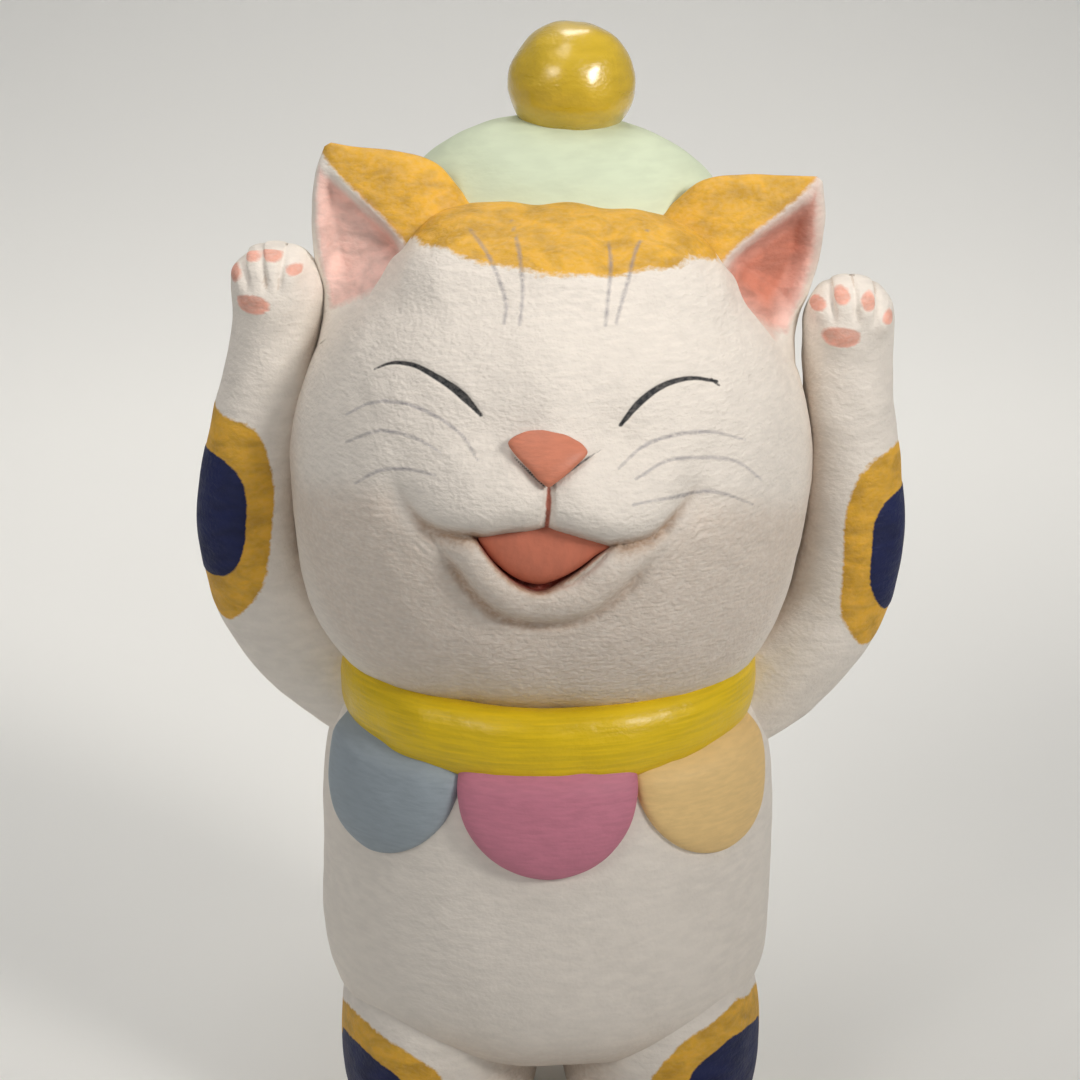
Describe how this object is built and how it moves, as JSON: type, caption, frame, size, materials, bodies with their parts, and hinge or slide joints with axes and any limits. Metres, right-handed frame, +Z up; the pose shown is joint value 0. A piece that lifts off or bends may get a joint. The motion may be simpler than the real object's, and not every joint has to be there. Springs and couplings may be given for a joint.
{
  "type": "beckoning cat figurine",
  "caption": "Hand-made clay cat figurine, standing and laughing with both paws raised beside its head, in a small domed hat with a ball, a roll collar and a lobed bib.",
  "frame": {"origin": "on the surface that the soles rest on, under the middle of the figurine's bounding box", "axes": "+Z up, the cat faces -Y, +X is to the right of someone who looks at its face"},
  "size_m": [0.1126, 0.0854, 0.1819],
  "materials": {
    "white_clay": "matte hand-brushed acrylic over air-dry clay",
    "mint_clay": "matte acrylic over clay",
    "lemon_varnish": "acrylic under gloss varnish",
    "yellow_satin": "satin acrylic over clay",
    "coral_clay": "matte acrylic over clay",
    "grey_blue_clay": "matte acrylic over clay",
    "pink_clay": "matte acrylic over clay",
    "cream_clay": "matte acrylic over clay",
    "foam": "bare expanded foam",
    "wood": "bare birch dowel",
    "wire": "bare craft wire"
  },
  "bodies": {
    "root": {"torso": "white_clay", "torso_core": "foam", "neck_dowel": "wood", "collar": "yellow_satin", "bib_lobe_blue": "grey_blue_clay", "bib_lobe_pink": "pink_clay", "bib_lobe_cream": "cream_clay", "leg_left": "white_clay", "leg_right": "white_clay", "tail": "white_clay", "head": "white_clay", "head_core": "foam", "tongue": "coral_clay", "muzzle": "white_clay", "nose": "coral_clay", "lower_lip": "white_clay", "ear_left": "white_clay", "ear_right": "white_clay", "arm_left": "white_clay", "arm_right": "white_clay", "arm_wire_left": "wire", "arm_wire_right": "wire", "hat": "mint_clay", "hat_ball": "lemon_varnish", "hat_ball_pin": "wire"}
  },
  "joints": []
}
